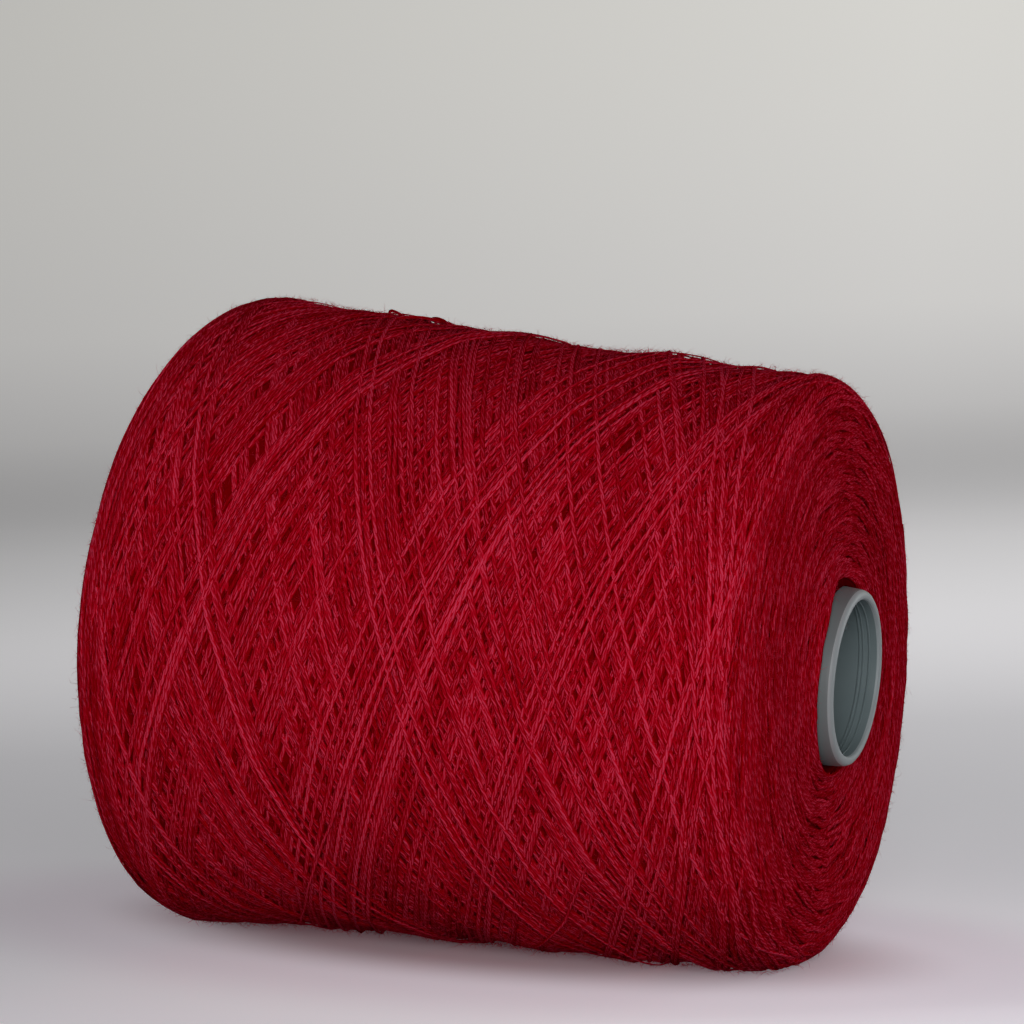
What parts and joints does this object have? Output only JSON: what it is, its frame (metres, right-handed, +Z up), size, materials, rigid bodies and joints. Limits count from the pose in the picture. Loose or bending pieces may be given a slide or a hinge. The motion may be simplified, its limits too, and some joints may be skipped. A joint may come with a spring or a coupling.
{
  "type": "cone of wound yarn",
  "caption": "Cone of red cashmere yarn wound on a grey hollow plastic cone tube, lying on its side with the tube's nose showing",
  "frame": {"origin": "on the floor, in the middle of the flat that the yarn lies on", "axes": "+X along the floor from the wide base to the narrow nose, +Z up; the cone's axis dips 4 degrees 20 minutes to the nose"},
  "size_m": [0.1751, 0.1656, 0.1626],
  "materials": {
    "tube": "blue-grey moulded plastic, satin",
    "yarn": "crimson two-ply wool yarn, softly hairy"
  },
  "bodies": {
    "root": {"cone_tube": "tube", "yarn_winding": "yarn"}
  },
  "joints": []
}
